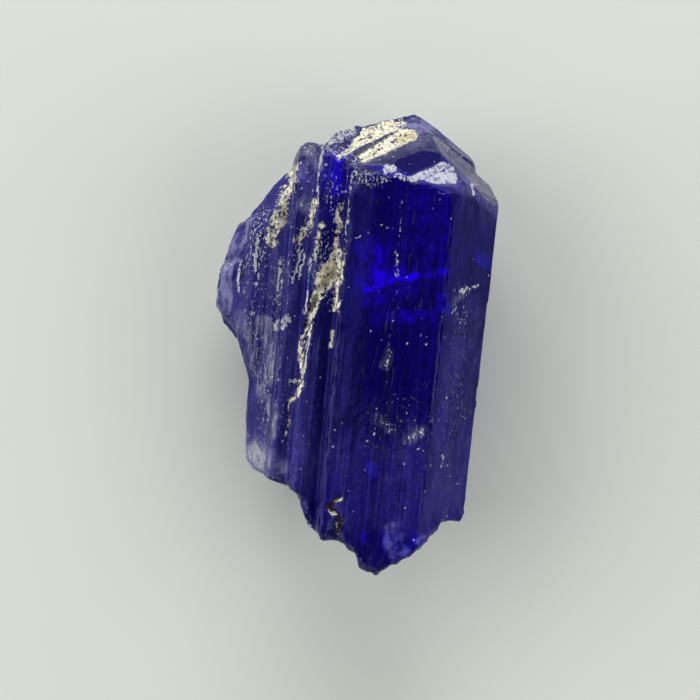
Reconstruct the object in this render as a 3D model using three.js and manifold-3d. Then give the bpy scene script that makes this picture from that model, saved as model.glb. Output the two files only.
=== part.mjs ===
// Rough tanzanite: one natural crystal of blue zoisite, lying on its back cleavage face.
//
// The crystal is a parallel growth of blades. A thick, well formed main blade stands on the right,
// and thinner striated blades step down and back from it to the left. They share one long axis,
// grew together, and are one solid. The upper end is terminated by stepped dome faces. The lower
// end is a broken, hackly fracture.
//
// Units are millimetres. +Y runs along the long axis to the terminated end, +Z is up, away from the
// surface that the crystal lies on, and +X is to the right for someone who looks down with +Y ahead.
// The origin is under the middle of the crystal, on the surface that it lies on.

import * as THREE from "three";
import { mergeVertices } from "three/addons/utils/BufferGeometryUtils.js";
import Module from "manifold-3d";

const wasm = await Module();
wasm.setup();

// Driving dimensions. Across is X, along is Y and deep is Z, before the origin is set.
const FRONT_Z = 8.0; // front prism face of the main blade
const KEEL_X = 5.75; // right-hand edge of the main blade
const KEEL_Z = 4.9; // height of that edge above the rest face
const MAIN_LEFT_X = -1.45; // left-hand edge of the main blade's front face
const MAIN_RIDGE_X = 3.5; // edge between its front face and its right face
const REST_LEFT_X = -2.9; // left-hand limit of the cleavage face that it rests on
const REST_RIGHT_X = 3.3; // right-hand limit of that face
const GROWTH_TOP_Y = 13.0; // the prisms run up past the dome faces that end them
const GROWTH_BOTTOM_Y = -13.0; // and down past the fracture
const CUTTER_SIZE = 60.0; // edge of the block that cuts a flat face
const MERGE_TOLERANCE = 1e-4;

// A point well inside the crystal. Every face looks away from it.
const HEART = new THREE.Vector3(0, 0, 4);

// Striations: how unevenly wide their steps are, and where in a step its two corners lie and to which side.
const STEP_WIDTHS = [0.3, 1.3];
const STEP_CORNERS = [
  [0.3, -1],
  [0.7, 1],
];

// A repeatable number from 0 to 1 for each whole number, which varies the small growth features.
function varied(n) {
  const wave = Math.sin(n * 127.1 + 11.7) * 43758.5453;
  return wave - Math.floor(wave);
}

// A closed solid from a three.js geometry.
function solidFrom(geometry) {
  const bare = geometry.clone();
  bare.deleteAttribute("normal");
  bare.deleteAttribute("uv");
  const merged = mergeVertices(bare, MERGE_TOLERANCE);
  return new wasm.Manifold(
    new wasm.Mesh({
      numProp: 3,
      vertProperties: merged.attributes.position.array,
      triVerts: new Uint32Array(merged.index.array),
    }),
  );
}

// A three.js geometry from a solid.
function geometryFrom(solid) {
  const mesh = solid.getMesh();
  const geometry = new THREE.BufferGeometry();
  geometry.setAttribute("position", new THREE.BufferAttribute(mesh.vertProperties, 3));
  geometry.setIndex(new THREE.BufferAttribute(mesh.triVerts, 1));
  geometry.computeVertexNormals();
  return geometry;
}

// A prism along Y with the section's corners given as [x, z].
function prism(section, bottomY, topY) {
  const outline = new THREE.Shape(section.map(([x, z]) => new THREE.Vector2(x, z)));
  const geometry = new THREE.ExtrudeGeometry(outline, { depth: topY - bottomY, bevelEnabled: false });
  geometry.rotateX(Math.PI / 2);
  geometry.translate(0, topY, 0);
  return solidFrom(geometry);
}

// Cuts a flat face that holds three points, with everything beyond it taken away.
function cutFace(solid, points) {
  const corners = points.map((point) => new THREE.Vector3(...point));
  const plane = new THREE.Plane().setFromCoplanarPoints(...corners);
  if (plane.distanceToPoint(HEART) > 0) {
    plane.negate();
  }
  const turn = new THREE.Quaternion().setFromUnitVectors(new THREE.Vector3(0, 0, 1), plane.normal);
  const centre = corners[0].addScaledVector(plane.normal, CUTTER_SIZE / 2);
  const block = new THREE.BoxGeometry(CUTTER_SIZE, CUTTER_SIZE, CUTTER_SIZE);
  block.applyQuaternion(turn);
  block.translate(centre.x, centre.y, centre.z);
  return solid.subtract(solidFrom(block));
}

// A blade of crystal: a prism ended and shaped by flat faces, each given by three of its points.
function blade({ section, bottomY = GROWTH_BOTTOM_Y, topY = GROWTH_TOP_Y, faces }) {
  return faces.reduce(cutFace, prism(section, bottomY, topY));
}

// A value that lies the given share of the way between two limits.
function between([low, high], share) {
  return low + (high - low) * share;
}

// Points from one [x, z] corner to another in uneven steps, as growth striations leave them.
function striated([x0, z0], [x1, z1], steps, relief, seed) {
  const widths = Array.from({ length: steps }, (_, i) => between(STEP_WIDTHS, varied(seed + i)));
  const whole = widths.reduce((sum, width) => sum + width, 0);
  const points = [];
  let passed = 0;
  widths.forEach((width, i) => {
    const lift = relief * (varied(seed + 50 + i) - 0.5);
    for (const [part, side] of STEP_CORNERS) {
      const share = (passed + width * part) / whole;
      points.push([between([x0, x1], share), between([z0, z1], share) + side * lift]);
    }
    passed += width;
  });
  return points;
}

// The thick blade on the right, with the clear front face and the sharp dome faces.
function mainBlade() {
  const apex = [2.05, 10.3, 5.2];
  const keelTop = [KEEL_X, 7.3, KEEL_Z];
  const keelFoot = [KEEL_X - 0.3, -7.4, KEEL_Z];
  return blade({
    section: [
      [REST_LEFT_X, 0],
      [REST_RIGHT_X, 0],
      [4.7, 1.5],
      [KEEL_X, KEEL_Z],
      [MAIN_RIDGE_X, FRONT_Z + 0.3],
      ...striated([MAIN_RIDGE_X - 0.1, FRONT_Z + 0.3], [MAIN_LEFT_X + 0.1, FRONT_Z - 0.1], 7, 0.05, 3),
      [MAIN_LEFT_X, FRONT_Z - 0.1],
      [MAIN_LEFT_X - 0.12, 6.3],
      [REST_LEFT_X, 5.6],
    ],
    faces: [
      // the front dome face, and the narrow bevel along its crest
      [[-0.95, 8.45, 7.6], [2.05, 10.3, 5.5], [1.2, 8.0, 8.1]],
      [[0.0, 8.55, 7.48], [2.1, 9.85, 6.02], apex],
      // the bright corner face between the front dome face and the right one
      [[1.35, 7.95, 8.1], [3.0, 9.05, 6.88], [3.5, 7.85, 7.85]],
      // the left dome face, which steps down to the blades behind
      [[-0.95, 8.45, 7.3], apex, [0.44, 9.55, 4.95]],
      // the right dome face and the bevel along its crest
      [apex, keelTop, [3.5, 8.2, 8.15]],
      [[2.45, 9.85, 5.6], [5.1, 7.9, 5.0], [4.6, 8.62, 3.8]],
      // the back of the termination, right and left
      [apex, [4.6, 8.6, 3.7], [2.0, 8.0, 1.6]],
      [apex, [-2.9, 8.6, 3.4], [-1.0, 7.2, 0.2]],
      // the right-hand sides draw in a little towards the lower end
      [keelTop, keelFoot, [3.6, 7.3, 8.4]],
      [keelTop, keelFoot, [4.7, 7.3, 1.5]],
    ],
  });
}

// The two thinner blades behind the main one, whose tops show as ledges over its dome.
function rearBlades() {
  const nearer = blade({
    section: [
      [-2.2, 1.1],
      [3.9, 0.9],
      [4.55, 2.6],
      [4.4, 4.4],
      [2.6, 5.6],
      [-1.3, 6.2],
      [-2.2, 5.6],
    ],
    bottomY: 2,
    faces: [
      // the ledge that looks to the front, and the riser on its left
      [[-1.6, 9.1, 5.67], [1.15, 10.85, 3.7], [1.5, 9.1, 5.67]],
      [[-1.6, 9.1, 5.67], [1.15, 10.85, 3.7], [-0.32, 10.13, 3.69]],
      // the right-hand dome faces
      [[1.2, 10.85, 3.7], [2.75, 10.42, 3.5], [2.3, 10.25, 4.3]],
      [[2.7, 10.45, 3.5], [4.15, 9.45, 3.5], [3.4, 9.75, 4.3]],
      [[4.15, 9.45, 3.5], [4.5, 8.85, 3.5], [4.1, 9.3, 2.2]],
      // the back
      [[1.2, 10.85, 3.4], [2.75, 10.42, 3.4], [2.0, 9.4, 1.6]],
      [[2.7, 10.45, 3.4], [4.15, 9.45, 3.4], [3.4, 7.4, 0.8]],
      [[1.15, 10.85, 3.4], [-1.9, 9.0, 4.6], [-0.4, 7.9, 1.1]],
    ],
  });
  const farther = blade({
    section: [
      [-2.8, 1.3],
      [-2.2, 0.6],
      [2.6, 0.6],
      [3.1, 2.4],
      [2.6, 4.2],
      [-1.2, 5.4],
      [-2.8, 4.8],
    ],
    bottomY: 1,
    faces: [
      // the ledge that looks to the front, and its left-hand end
      [[-2.35, 9.95, 4.2], [1.3, 11.3, 2.7], [1.3, 9.95, 4.2]],
      [[-2.75, 9.55, 4.0], [-2.35, 9.95, 4.0], [-2.6, 9.55, 4.8]],
      // the right-hand dome faces
      [[1.3, 11.3, 2.7], [2.0, 11.0, 2.7], [1.7, 10.75, 3.4]],
      [[2.0, 11.0, 2.7], [2.85, 10.4, 2.7], [2.3, 10.4, 3.4]],
      // the back
      [[-2.35, 9.95, 4.0], [1.3, 11.3, 2.6], [-0.4, 7.6, 0.5]],
      [[1.3, 11.3, 2.6], [2.85, 10.4, 2.6], [2.2, 7.8, 0.5]],
    ],
  });
  return nearer.add(farther);
}

// The striated blade beside the main one, below its left-hand edge.
function innerBlade() {
  return blade({
    section: [
      [-3.2, 0.3],
      [-1.2, 0.3],
      [-1.2, 6.2],
      [-1.5, 6.35],
      ...striated([-1.75, 6.95], [-2.9, 7.05], 6, 0.16, 21),
      [-2.98, 6.9],
      [-3.12, 5.7],
    ],
    faces: [
      [[-2.9, 9.3, 6.1], [-1.4, 8.65, 6.4], [-2.1, 8.65, 7.05]],
      [[-2.9, 9.3, 6.1], [-1.4, 8.65, 6.4], [-2.1, 8.4, 4.0]],
      [[-2.9, 9.2, 4.0], [-1.4, 8.6, 4.0], [-2.0, 7.4, 0.4]],
    ],
  });
}

// The finger-like blade with the rounded tip.
function fingerBlade() {
  return blade({
    section: [
      [-4.25, 0.75],
      [-3.0, 0.5],
      [-3.0, 5.85],
      ...striated([-3.12, 5.95], [-3.95, 6.2], 4, 0.12, 41),
      [-4.08, 6.1],
      [-4.2, 4.4],
    ],
    faces: [
      [[-4.08, 8.7, 4.8], [-3.9, 9.3, 4.8], [-3.95, 8.75, 5.9]],
      [[-3.9, 9.3, 4.8], [-3.5, 9.45, 4.8], [-3.68, 9.2, 5.7]],
      [[-3.5, 9.45, 4.8], [-2.9, 9.33, 4.8], [-3.2, 9.22, 5.7]],
      [[-4.0, 8.5, 6.15], [-3.0, 8.6, 5.95], [-3.5, 9.25, 5.6]],
      [[-3.9, 9.3, 4.8], [-2.9, 9.33, 4.8], [-3.5, 8.3, 2.0]],
      [[-4.1, 8.4, 2.2], [-3.0, 8.5, 2.2], [-3.5, 6.6, 0.5]],
    ],
  });
}

// The wide frosted blades on the left, which thin out towards their free edge.
function leftBlades() {
  const upper = blade({
    section: [
      [-6.25, 1.95],
      [-4.0, 0.8],
      [-4.0, 4.7],
      ...striated([-4.2, 4.9], [-5.75, 4.75], 7, 0.2, 61),
      [-6.25, 3.7],
    ],
    bottomY: -5,
    faces: [
      [[-4.1, 8.2, 3.4], [-4.9, 7.6, 3.4], [-4.5, 7.6, 4.5]],
      [[-4.9, 7.6, 3.4], [-5.85, 5.95, 3.4], [-5.2, 6.7, 4.6]],
      [[-4.1, 7.2, 4.85], [-5.6, 5.0, 4.7], [-4.6, 7.3, 4.2]],
      [[-4.1, 8.2, 3.3], [-5.85, 5.95, 3.3], [-4.6, 5.6, 1.4]],
      [[-6.05, -0.2, 3.0], [-5.42, -1.9, 3.0], [-6.0, -0.2, 2.0]],
      [[-5.5, -1.4, 4.3], [-4.1, -3.4, 4.6], [-4.9, -3.3, 3.6]],
    ],
  });
  const lower = blade({
    section: [
      [-5.35, 1.9],
      [-3.0, 0.6],
      [-3.0, 5.3],
      ...striated([-3.2, 5.5], [-4.9, 4.7], 7, 0.18, 83),
      [-5.35, 3.8],
    ],
    topY: 4,
    faces: [
      [[-5.3, 1.9, 4.0], [-4.0, 2.4, 4.9], [-4.6, 1.2, 4.9]],
      [[-5.35, -3.4, 3.9], [-3.4, -4.4, 5.4], [-4.4, -6.4, 2.9]],
      [[-5.4, -1.9, 2.8], [-5.25, -6.0, 2.8], [-5.35, -1.9, 1.8]],
      [[-5.3, -3.0, 1.9], [-3.2, -3.6, 0.7], [-4.4, -6.6, 1.9]],
    ],
  });
  return upper.add(lower);
}

// The thin, pale lobes along the left-hand edge.
function edgeLobes() {
  const shoulder = blade({
    section: [
      [-6.95, 2.0],
      [-5.7, 1.6],
      [-5.7, 3.6],
      ...striated([-5.95, 3.75], [-6.6, 3.4], 3, 0.16, 101),
      [-6.95, 2.9],
    ],
    bottomY: -0.9,
    topY: 8,
    faces: [
      [[-5.85, 5.95, 2.8], [-6.6, 5.05, 2.8], [-6.1, 5.4, 3.6]],
      [[-6.6, 5.05, 2.8], [-6.95, 4.0, 2.8], [-6.6, 5.0, 2.0]],
      [[-6.75, 0.6, 2.6], [-6.0, -0.25, 2.6], [-6.35, 0.35, 3.5]],
      [[-6.2, 5.5, 2.6], [-6.0, 3.0, 1.6], [-6.9, 3.4, 1.9]],
    ],
  });
  const lobe = blade({
    section: [
      [-7.3, 2.3],
      [-6.9, 2.0],
      [-6.3, 2.0],
      [-6.3, 3.05],
      [-6.75, 3.2],
      [-7.3, 2.8],
    ],
    bottomY: -0.5,
    topY: 5,
    faces: [
      [[-7.3, 2.4, 2.6], [-7.15, 3.05, 2.6], [-7.2, 2.5, 3.0]],
      [[-7.15, 3.05, 2.6], [-6.85, 3.6, 2.6], [-6.95, 3.0, 3.1]],
      [[-7.3, 1.75, 2.6], [-7.15, 1.1, 2.6], [-7.15, 1.75, 3.0]],
      [[-7.15, 1.1, 2.6], [-6.4, 0.2, 2.6], [-6.75, 0.95, 3.1]],
    ],
  });
  return shoulder.add(lobe);
}

// Fine growth lines on the striated blades. Each row gives the strip of a blade's front face that they
// run on, from its left-hand and right-hand [x, z], and how far along the blade they lie.
const GROWTH_ROWS = [
  { from: [-2.85, 7.05], to: [-1.8, 6.95], lowY: -8.0, highY: 8.0, count: 14, seed: 200 },
  { from: [-3.95, 6.2], to: [-3.15, 5.95], lowY: -5.6, highY: 8.2, count: 12, seed: 230 },
  { from: [-5.7, 4.75], to: [-4.25, 4.9], lowY: -1.0, highY: 5.4, count: 16, seed: 260 },
  { from: [-4.9, 4.75], to: [-3.2, 5.5], lowY: -3.4, highY: 0.8, count: 14, seed: 290 },
  { from: [-6.6, 3.4], to: [-5.95, 3.75], lowY: 0.9, highY: 3.9, count: 5, seed: 320 },
  { from: [-1.2, 7.9], to: [3.3, 8.25], lowY: -8.0, highY: 7.2, count: 10, seed: 350 },
];

const LINE_HALF_LENGTHS = [1.2, 3.4];
const LINE_HALF_WIDTHS = [0.05, 0.11];
const LINE_HEIGHTS = [0.05, 0.14];

// A growth line: a long, low splinter that fades out at both ends, with its middle at [x, y, z].
function growthLine([x, y, z], halfWidth, halfLength, height) {
  const geometry = new THREE.OctahedronGeometry(1, 0);
  geometry.scale(halfWidth, halfLength, height);
  geometry.translate(x, y, z);
  return solidFrom(geometry);
}

// The growth lines of one row, at uneven places and of uneven sizes.
function growthRow({ from, to, lowY, highY, count, seed }) {
  return Array.from({ length: count }, (_, i) => {
    const share = (i + between([0.2, 0.8], varied(seed + i))) / count;
    const x = between([from[0], to[0]], share);
    const z = between([from[1], to[1]], share);
    const longest = 0.45 * (highY - lowY);
    const halfLength = Math.min(longest, between(LINE_HALF_LENGTHS, varied(seed + 13 * i)));
    const y = between([lowY + halfLength, highY - halfLength], varied(seed + 7 * i));
    const halfWidth = between(LINE_HALF_WIDTHS, varied(seed + 19 * i));
    const height = between(LINE_HEIGHTS, varied(seed + 23 * i));
    return growthLine([x, y, z], halfWidth, halfLength, height);
  });
}

// The fracture at the lower end: its edge as seen from above, as [x, y] from left to right.
const FRACTURE_EDGE = [
  [-9, -5.0],
  [-5.35, -5.9],
  [-4.9, -6.35],
  [-3.7, -6.85],
  [-2.6, -7.1],
  [-2.3, -7.7],
  [-1.75, -8.95],
  [-1.3, -9.3],
  [-0.6, -9.2],
  [0.6, -9.8],
  [0.8, -10.45],
  [1.1, -10.75],
  [1.7, -10.55],
  [2.9, -9.75],
  [3.7, -9.0],
  [4.25, -8.1],
  [5.45, -7.85],
  [9, -7.6],
];
const FRACTURE_SLOPE = 0.38; // how fast the fracture climbs from the front edge to the rest face
const FRACTURE_HACKLE = 0.5; // height of its ridges and splinters
const FRACTURE_LIP = 0.6; // how far below the front the climb begins
const FRACTURE_WIDE = 17; // the block under the fracture reaches past the crystal on every side
const FRACTURE_DEEP = 12;
const FRACTURE_MIDDLE_Z = 4.5;
const FRACTURE_FLOOR_Y = -16;
const FRACTURE_COLUMNS = 40;
const FRACTURE_ROWS = 13;

// How high the crystal's front stands at the broken end, as [x, z] from left to right.
const BROKEN_FRONT = [
  [-9, 2.4],
  [-3.4, 2.6],
  [-2.9, 6.2],
  [-1.5, 6.8],
  [-1.3, 7.7],
  [3.5, 7.9],
  [5.45, 4.6],
  [9, 4.6],
];

// Straight-line reading of a row of points at x.
function readAt(row, x) {
  const next = Math.max(1, row.findIndex(([at]) => at >= x));
  const [x0, value0] = row[next - 1];
  const [x1, value1] = row[next];
  return value0 + ((value1 - value0) * (x - x0)) / (x1 - x0);
}

// Everything under the fracture, as a block with a hackly upper surface.
function underFracture() {
  const block = new THREE.BoxGeometry(FRACTURE_WIDE, 1, FRACTURE_DEEP, FRACTURE_COLUMNS, 1, FRACTURE_ROWS);
  const position = block.attributes.position;
  for (let i = 0; i < position.count; i += 1) {
    const x = position.getX(i);
    const z = position.getZ(i) + FRACTURE_MIDDLE_Z;
    let y = FRACTURE_FLOOR_Y;
    if (position.getY(i) > 0) {
      const column = Math.round((x / FRACTURE_WIDE + 0.5) * FRACTURE_COLUMNS);
      const row = Math.round((position.getZ(i) / FRACTURE_DEEP + 0.5) * FRACTURE_ROWS);
      const splinter = FRACTURE_HACKLE * varied(column * 17 + row * 5);
      const climb = FRACTURE_SLOPE * Math.max(0, readAt(BROKEN_FRONT, x) - FRACTURE_LIP - z);
      y = readAt(FRACTURE_EDGE, x) + climb + splinter * Math.min(1, climb);
    }
    position.setXYZ(i, x, y, z);
  }
  return solidFrom(block);
}

// Chips broken out of the edges: middle, half sizes, and how far each is turned.
const CHIPS = [
  { at: [-0.7, 8.3, 8.15], half: [0.55, 0.5, 0.5], turn: 0.3 },
  { at: [0.1, 8.2, 8.3], half: [0.45, 0.3, 0.4], turn: 2.6 },
  { at: [0.8, 8.25, 8.35], half: [0.4, 0.4, 0.42], turn: 1.1 },
  { at: [-1.5, 7.9, 7.85], half: [0.3, 0.8, 0.45], turn: 2.0 },
  { at: [-1.55, 5.2, 7.9], half: [0.25, 1.1, 0.35], turn: 0.1 },
  { at: [5.8, -1.85, 4.9], half: [0.36, 0.5, 0.7], turn: 0.2 },
  { at: [5.72, -4.9, 4.8], half: [0.16, 0.6, 0.5], turn: 1.4 },
  { at: [5.85, 0.6, 4.7], half: [0.2, 0.5, 0.6], turn: 2.3 },
  { at: [-0.8, -7.75, 8.25], half: [0.36, 0.5, 0.5], turn: 0.15 },
  { at: [-0.6, -8.8, 8.1], half: [0.2, 0.9, 0.6], turn: 0.5 },
  { at: [3.3, -6.6, 0.1], half: [0.8, 1.4, 0.7], turn: 0.9 },
  { at: [2.9, 6.4, 0.0], half: [0.9, 0.8, 0.5], turn: 0.4 },
  { at: [-3.1, 3.0, 0.1], half: [0.6, 1.6, 0.5], turn: 0.2 },
  { at: [-7.3, 3.35, 2.8], half: [0.25, 0.25, 0.5], turn: 0.5 },
  { at: [-6.75, 5.15, 3.1], half: [0.3, 0.25, 0.6], turn: 0.7 },
  { at: [-2.55, 10.1, 3.9], half: [0.3, 0.22, 0.5], turn: 1.9 },
  { at: [-0.75, 10.75, 3.6], half: [0.35, 0.18, 0.6], turn: 0.8 },
];

// One chip's hollow, with flat, uneven sides.
function chip({ at, half, turn }) {
  const geometry = new THREE.IcosahedronGeometry(1, 0);
  geometry.rotateX(turn * 1.7);
  geometry.rotateZ(turn * 2.3);
  geometry.scale(...half);
  geometry.rotateZ(0.3 * Math.sin(turn));
  geometry.translate(...at);
  return solidFrom(geometry);
}

// Shallow steps where flakes of cleavage have left the underside: outlines as [x, y], and depths.
const CLEAVAGE_STEPS = [
  { depth: 0.32, outline: [[-4, -6], [-2.2, -5.2], [-1.7, 1.6], [-2.1, 4.8], [-1.5, 9.5], [-4, 9.5]] },
  { depth: 0.22, outline: [[5, -9], [2.4, -9], [2.0, -5.6], [2.6, -3.8], [2.3, -0.6], [2.9, 1.2], [5, 1.2]] },
  { depth: 0.5, outline: [[5, 4.9], [2.6, 5.3], [1.7, 6.0], [0.6, 6.1], [-0.3, 6.8], [-0.9, 9.5], [5, 9.5]] },
];

// What a flake took away, open to below.
function flake({ depth, outline }) {
  const shape = new THREE.Shape(outline.map(([x, y]) => new THREE.Vector2(x, y)));
  const geometry = new THREE.ExtrudeGeometry(shape, { depth: depth + 1, bevelEnabled: false });
  geometry.translate(0, 0, -1);
  return solidFrom(geometry);
}

// The white-filled crack that runs down between the finger blade and the main blade, as [x, y].
const CRACK_PATH = [
  [-1.62, 4.6],
  [-1.7, 3.2],
  [-2.45, 2.2],
  [-2.75, 1.2],
  [-2.95, -0.4],
  [-2.85, -2.0],
  [-3.2, -2.9],
  [-3.28, -4.6],
];
const CRACK_HALF_WIDTH = 0.3; // at the open top of the cut, well above the crystal
const CRACK_TOP_Z = 9;
const CRACK_SHALLOW_Z = 6; // its floor at the ends
const CRACK_DEEP_Z = 5.1; // its floor half way along

// The crack as an open cut from above, one wedge for each stretch of its path.
function crack() {
  const stretches = CRACK_PATH.length - 1;
  const wedges = CRACK_PATH.slice(1).map(([x1, y1], i) => {
    const [x0, y0] = CRACK_PATH[i];
    const fromMiddle = Math.abs((2 * i) / (stretches - 1) - 1);
    const outline = new THREE.Shape([
      new THREE.Vector2(-CRACK_HALF_WIDTH, CRACK_TOP_Z),
      new THREE.Vector2(0, between([CRACK_DEEP_Z, CRACK_SHALLOW_Z], fromMiddle)),
      new THREE.Vector2(CRACK_HALF_WIDTH, CRACK_TOP_Z),
    ]);
    const length = Math.hypot(x1 - x0, y1 - y0);
    const geometry = new THREE.ExtrudeGeometry(outline, { depth: length, bevelEnabled: false });
    geometry.rotateX(Math.PI / 2);
    geometry.rotateZ(Math.atan2(x1 - x0, y0 - y1));
    geometry.translate(x0, y0, 0);
    return solidFrom(geometry);
  });
  return wedges.reduce((all, wedge) => all.add(wedge));
}

// The whole crystal as one solid.
function crystalSolid() {
  const blades = [mainBlade(), rearBlades(), innerBlade(), fingerBlade(), leftBlades(), edgeLobes()];
  const grown = [...blades, ...GROWTH_ROWS.flatMap(growthRow)].reduce((all, piece) => all.add(piece));
  const hollows = [underFracture(), crack(), ...CHIPS.map(chip), ...CLEAVAGE_STEPS.map(flake)];
  const chipped = hollows.reduce((all, hollow) => all.subtract(hollow), grown);
  // Splinters that the cuts leave loose fall away.
  return chipped.decompose().reduce((most, body) => (body.volume() > most.volume() ? body : most));
}

const tanzanite = new THREE.MeshStandardMaterial({ color: 0x1c1568, roughness: 0.22, metalness: 0 });
const crystal = new THREE.Mesh(geometryFrom(crystalSolid()), tanzanite);
crystal.name = "tanzanite_crystal";

// The origin goes under the middle of the crystal, on the rest face.
crystal.geometry.computeBoundingBox();
const extent = crystal.geometry.boundingBox;
const middle = extent.getCenter(new THREE.Vector3());
crystal.position.set(-middle.x, -middle.y, -extent.min.z);

const specimen = new THREE.Group();
specimen.add(crystal);

export default specimen;
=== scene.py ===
"""Rough tanzanite on a studio floor: one crystal of parallel blades, lying on its flat cleavage face.

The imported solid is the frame. The crystal's fine surface is modelled on a copy of it, in metres.
"""
import logging
import math
from dataclasses import dataclass, field
from enum import Enum
from typing import Any, Iterable

import bpy
import numpy as np
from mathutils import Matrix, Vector, noise


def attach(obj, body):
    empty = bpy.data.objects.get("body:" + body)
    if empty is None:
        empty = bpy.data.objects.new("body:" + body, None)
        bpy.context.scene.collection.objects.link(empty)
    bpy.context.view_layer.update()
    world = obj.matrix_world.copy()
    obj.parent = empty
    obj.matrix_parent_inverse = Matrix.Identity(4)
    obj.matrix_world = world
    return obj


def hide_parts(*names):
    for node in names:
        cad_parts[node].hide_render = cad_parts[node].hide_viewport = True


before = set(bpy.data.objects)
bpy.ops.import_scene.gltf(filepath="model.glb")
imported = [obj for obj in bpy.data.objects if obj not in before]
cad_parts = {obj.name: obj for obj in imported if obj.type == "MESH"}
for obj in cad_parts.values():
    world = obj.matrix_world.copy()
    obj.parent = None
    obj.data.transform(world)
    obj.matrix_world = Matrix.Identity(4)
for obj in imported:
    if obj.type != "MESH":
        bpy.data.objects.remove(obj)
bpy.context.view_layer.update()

MM = 0.001

# Where the zero of the plan lies in the frame, in millimetres. The plan looks down on the crystal:
# u runs right across the blades from the middle of the main one, v along them to the grown end.
PLAN_ZERO = (0.775, -0.323)

Point = tuple[float, float]
log = logging.getLogger("rough_tanzanite")


def linear(hex_colour: str) -> tuple[float, float, float, float]:
    """Turns an sRGB hex colour to linear light.

    Args:
        hex_colour: Six hex digits, with or without a leading #.

    Returns:
        Red, green, blue and an alpha of 1.
    """
    digits = hex_colour.lstrip("#")
    parts = [int(digits[i:i + 2], 16) / 255 for i in (0, 2, 4)]
    light = [p / 12.92 if p <= 0.04045 else ((p + 0.055) / 1.055) ** 2.4 for p in parts]
    return (*light, 1.0)


def only(piece: bpy.types.Object) -> None:
    """Makes one object the only one selected, and the active one.

    Args:
        piece: The object that the next operators act on.
    """
    bpy.ops.object.select_all(action="DESELECT")
    piece.select_set(True)
    bpy.context.view_layer.objects.active = piece


class Mark(Enum):
    """What lies on the crystal's surface or just under it, and the light and shade painted on it, each
    held as a number at every vertex.
    """

    RESIDUE = "residue"  # cream crust of the host rock, in grooves and on ledges
    OCHRE = "ochre"  # golden stain in the crust
    VEIL = "veil"  # white chips, scratches and wisps
    SPECK = "speck"  # how thickly small white pits are strewn
    DASH = "dash"  # white dashes along the striations
    GLOW = "glow"  # painted royal blue glints, as of light thrown back by cracks inside
    PAINTED_BACKLIGHT = "pale"  # thin parts painted pale lavender, as light let through them
    HAZE = "haze"  # how far a face is frosted over
    FROST = "frost"  # how grey its frost is
    SHADE = "shade"  # painted shade on faces that throw back the dark, on walls and on rims
    SHEEN_AND_WISP = "sheen"  # painted sheen on facets that throw back the light, and white wisps
    EARTH = "earth"  # dark brown grains grown into the broken end
    HACKLE = "hackle"  # broken, hackly surface


# Marks that scatter loose grains around themselves: how thickly, and how far in millimetres
GRAINY = (Mark.RESIDUE, Mark.VEIL, Mark.DASH, Mark.EARTH)
LOOSE_SHARE = 0.36
LOOSE_REACH = 0.4

# A stroke keeps its full strength for a third of its reach
CORE_GAIN = 1.5

# How strongly a mark runs on down an upright wall
ON_WALLS = {Mark.RESIDUE: 0.26, Mark.SHADE: 0.5}


@dataclass(frozen=True)
class Stroke:
    """A mark laid along a given line on the crystal's upper side, in the plan's millimetres.

    A filled stroke covers all that its line goes round.
    """

    mark: Mark
    reach: float
    strength: float
    line: tuple[Point, ...]
    filled: bool = False

    def weight(self, u: np.ndarray, v: np.ndarray) -> np.ndarray:
        """Says how strongly the stroke lies on each place.

        Args:
            u: The places' plan coordinates across the blades.
            v: The places' plan coordinates along the blades.

        Returns:
            The strength on and near the line, falling to 0 at the stroke's reach.
        """
        line = self.line + self.line[:1] if self.filled else self.line
        nearest = np.full(u.shape, np.inf)
        inside = np.zeros(u.shape, dtype=bool)
        for (u0, v0), (u1, v1) in zip(line, line[1:]):
            du, dv = u1 - u0, v1 - v0
            along = np.clip(((u - u0) * du + (v - v0) * dv) / (du * du + dv * dv), 0, 1)
            nearest = np.minimum(nearest, np.hypot(u - u0 - along * du, v - v0 - along * dv))
            if self.filled and dv:
                inside ^= ((v0 > v) != (v1 > v)) & (u < u0 + (v - v0) * du / dv)
        nearest[inside] = 0.0
        core = np.clip(CORE_GAIN * (1 - nearest / self.reach), 0, 1)
        if self.mark in GRAINY:
            loose = np.clip((self.reach + LOOSE_REACH - nearest) / LOOSE_REACH, 0, 1)
            core = np.maximum(core, LOOSE_SHARE * loose)
        return self.strength * core


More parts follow.
